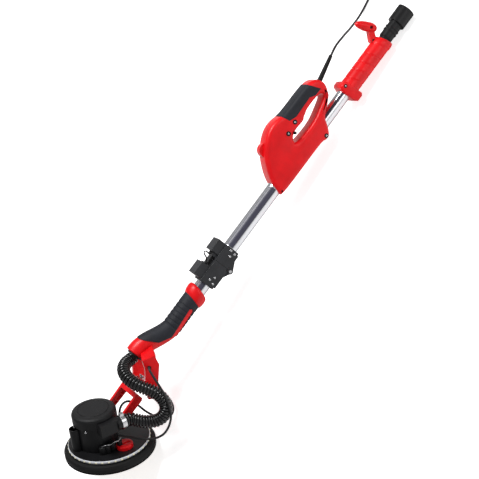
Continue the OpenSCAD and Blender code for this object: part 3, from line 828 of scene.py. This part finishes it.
for index, place in enumerate(motor["screws"]):
    headScrew("coverScrew%d" % index, *place)
valveWire = makeCurve("valveWire", metres(valve["wire"]), valve["wireRadius"])
finishPiece(valveWire, "valveWire", "head", "brightSteel", headFrame)
for index, (x, y, z, size) in enumerate(valve["bosses"]):
    bpy.ops.mesh.primitive_cylinder_add(
        vertices=28, radius=size / 1000, depth=valve["bossHeight"], location=Vector((x, y, z)) / 1000,
    )
    boss = bpy.context.object
    bevelEdges(boss, valve["bossBevel"], 3, "ANGLE")
    smooth(boss, 40)
    finishPiece(boss, "valveBoss%d" % index, "head", "blackPlastic", headFrame)
print("stage: head details")


# Bristles
brush = {
    "radius": 0.1175,
    "count": 240,
    "tuftRadii": (0.0021, 0.0012),
    "tuftHeight": 0.0075,
    "middle": 0.0047,
    "scatter": 0.0008,
    "lean": 14,
    "uneven": 0.12,
}
bpy.ops.mesh.primitive_cone_add(
    vertices=6, radius1=brush["tuftRadii"][0], radius2=brush["tuftRadii"][1], depth=brush["tuftHeight"],
)
tufts = [bpy.context.object]
for index in range(1, brush["count"]):
    activate(tufts[0])
    bpy.ops.object.duplicate(linked=True)
    tufts.append(bpy.context.object)
for index, tuft in enumerate(tufts):
    angle = 2 * math.pi * index / brush["count"]
    lean = math.radians(brush["lean"] * math.sin(index * 2.7))
    reach = brush["radius"] + brush["scatter"] * math.sin(index * 1.9)
    tuft.matrix_world = (
        Matrix.Rotation(angle, 4, "Z")
        @ Matrix.Translation((reach, 0, brush["middle"]))
        @ Matrix.Rotation(lean, 4, "X")
        @ Matrix.Diagonal((1, 1, 1.0 - brush["uneven"] * abs(math.sin(index * 3.3)), 1))
    )
bpy.ops.object.select_all(action="DESELECT")
for tuft in tufts:
    tuft.select_set(True)
bpy.context.view_layer.objects.active = tufts[0]
bpy.ops.object.make_single_user(object=True, obdata=True)
bristles = joined(tufts)
finishPiece(bristles, "bristles", "head", "bristle", headFrame)
print("stage: bristles")


# Lamp band
lamps = {
    "count": 40,
    "radius": 0.1045,
    "height": 0.0282,
    "band": 0.0030,
    "bandStretch": 1.35,
    "chip": (0.0008, 0.0046, 0.0036),
    "chipRise": 0.0002,
    "chipBevel": 0.0003,
}
bpy.ops.mesh.primitive_torus_add(
    major_radius=lamps["radius"], minor_radius=lamps["band"], major_segments=128, minor_segments=12,
    location=(0, 0, lamps["height"]),
)
band = bpy.context.object
band.scale = (1, 1, lamps["bandStretch"])
smooth(band, 60)
finishPiece(band, "lampBand", "head", "lampDiffuser", headFrame)
chips = []
for index in range(lamps["count"]):
    angle = 2 * math.pi * index / lamps["count"]
    bpy.ops.mesh.primitive_cube_add(size=1)
    chip = bpy.context.object
    chip.matrix_world = (
        Matrix.Rotation(angle, 4, "Z")
        @ Matrix.Translation((lamps["radius"] + lamps["band"] + lamps["chipRise"], 0, lamps["height"]))
        @ Matrix.Diagonal((*lamps["chip"], 1))
    )
    activate(chip)
    bpy.ops.object.transform_apply(location=True, rotation=True, scale=True)
    bevel = chip.modifiers.new("bevel", "BEVEL")
    bevel.width = lamps["chipBevel"]
    applyAll(chip)
    chips.append(chip)
finishPiece(joined(chips), "lampChips", "head", "lampChip", headFrame)
print("stage: lamps")


# Floor, light and background
bpy.ops.mesh.primitive_plane_add(size=14, location=(0, 3, -0.0002))
floor = bpy.context.object
floor.name = "floor"
floorMaterial = bpy.data.materials.new("floorWhite")
floorMaterial.use_nodes = True
floorSurface = floorMaterial.node_tree.nodes["Principled BSDF"]
floorSurface.inputs["Base Color"].default_value = (0.95, 0.95, 0.95, 1)
floorSurface.inputs["Roughness"].default_value = 1
floorSurface.inputs["Specular IOR Level"].default_value = 0
floor.data.materials.append(floorMaterial)
floorTree = floorMaterial.node_tree
# only the camera sees the floor and the backdrop as bright white
floorRays = floorTree.nodes.new("ShaderNodeLightPath")
lift = floorTree.nodes.new("ShaderNodeMapRange")
lift.inputs["To Min"].default_value = 0
lift.inputs["To Max"].default_value = 0.7
floorTree.links.new(floorRays.outputs["Is Camera Ray"], lift.inputs["Value"])
floorTree.links.new(lift.outputs["Result"], floorSurface.inputs["Emission Strength"])
floorSurface.inputs["Emission Color"].default_value = (1, 1, 1, 1)

world = bpy.data.worlds.new("studio")
scene.world = world
world.use_nodes = True
worldTree = world.node_tree
background = worldTree.nodes["Background"]
background.inputs["Color"].default_value = (1, 1, 1, 1)
rays = worldTree.nodes.new("ShaderNodeLightPath")
seen = worldTree.nodes.new("ShaderNodeMapRange")
seen.inputs["To Min"].default_value = 0.3
seen.inputs["To Max"].default_value = 1.0
worldTree.links.new(rays.outputs["Is Camera Ray"], seen.inputs["Value"])
worldTree.links.new(seen.outputs["Result"], background.inputs["Strength"])

viewRight = camera.matrix_world.to_3x3() @ Vector((1, 0, 0))
viewUp = camera.matrix_world.to_3x3() @ Vector((0, 1, 0))
viewBack = camera.matrix_world.to_3x3() @ Vector((0, 0, 1))
lights = {
    "key": {"right": -1.6, "up": 1.8, "back": 1.4, "size": 1.0, "power": 62},
    "fill": {"right": 2.2, "up": 0.8, "back": 1.8, "size": 1.6, "power": 14},
}
for name, spec in lights.items():
    bpy.ops.object.light_add(type="AREA")
    light = bpy.context.object
    light.name = name
    spot = viewRight * spec["right"] + viewUp * spec["up"] + viewBack * spec["back"]
    spot.z = max(spot.z, 1.2)
    light.location = spot
    light.rotation_euler = (-spot).to_track_quat("-Z", "Y").to_euler()
    light.data.size = spec["size"]
    light.data.energy = spec["power"]

scene.view_settings.view_transform = "Standard"
scene.view_settings.look = "None"
scene.render.engine = "CYCLES"
scene.cycles.samples = 96
print("stage: scene")
